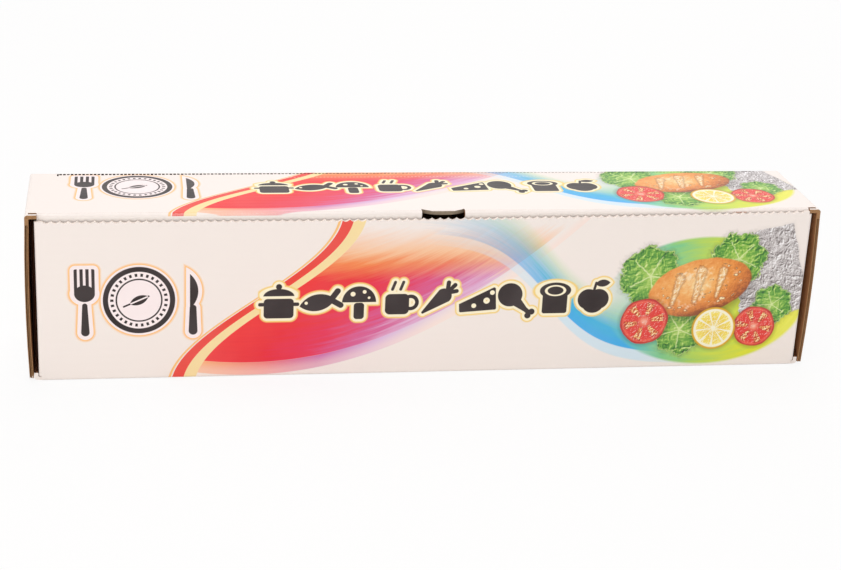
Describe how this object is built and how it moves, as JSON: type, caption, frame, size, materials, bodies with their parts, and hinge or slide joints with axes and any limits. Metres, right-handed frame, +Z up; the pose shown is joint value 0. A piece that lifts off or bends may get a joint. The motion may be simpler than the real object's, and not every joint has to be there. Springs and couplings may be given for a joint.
{
  "type": "boxed aluminium foil roll",
  "caption": "Roll of aluminium foil on a paper core, in a long printed corrugated dispenser carton with a tuck-in hinged lid.",
  "frame": {"origin": "middle of the carton's footprint, on the surface that it stands on", "axes": "+X along the roll, to the right seen from the front; +Y towards the lid's crease at the back; +Z up"},
  "size_m": [0.3134, 0.0516, 0.0675],
  "materials": {
    "tray_board": "white printed liner outside, kraft brown inside",
    "lid_board": "white printed liner outside, kraft brown inside",
    "foil": "bright rolled foil",
    "core_paper": "wound grey-brown paper"
  },
  "bodies": {
    "carton": {"carton_body": "tray_board", "foil_roll": "foil", "core_tube": "core_paper"},
    "lid": {"carton_lid": "lid_board"}
  },
  "joints": [
    {"name": "lid_hinge", "type": "hinge", "parent": "carton", "child": "lid", "pos_m": [0, 0.02575, 0.0675], "axis": [-1, 0, 0], "range_deg": [0, 175]}
  ]
}
